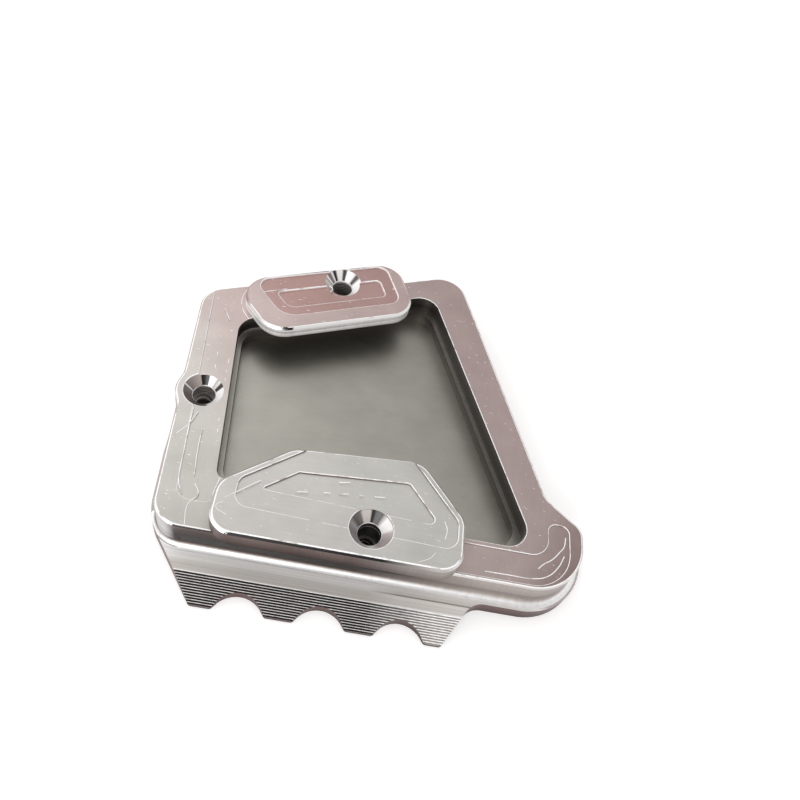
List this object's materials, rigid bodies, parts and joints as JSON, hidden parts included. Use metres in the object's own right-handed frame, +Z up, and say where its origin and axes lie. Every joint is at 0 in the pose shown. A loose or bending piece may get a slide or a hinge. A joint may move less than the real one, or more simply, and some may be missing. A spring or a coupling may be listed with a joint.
{
  "type": "kickstand foot enlarger",
  "caption": "Flat plate that widens the foot of a motorcycle side stand: a toothed base plate and a rim round a pocket for the foot, held down by clamp plates.",
  "frame": {"origin": "middle of the overall length and width, on the ground under the base plate", "axes": "+X runs along the toothed edge to the right, +Y away from the toothed edge, +Z up from the ground"},
  "size_m": [0.1056, 0.104, 0.0171],
  "materials": {
    "base_plate": "bare, milled",
    "rim_plate": "bare, milled",
    "far_clamp": "bare, milled",
    "near_clamp": "bare, milled"
  },
  "bodies": {
    "root": {"base_plate": "base_plate", "rim_plate": "rim_plate", "far_clamp": "far_clamp", "near_clamp": "near_clamp"}
  },
  "joints": []
}
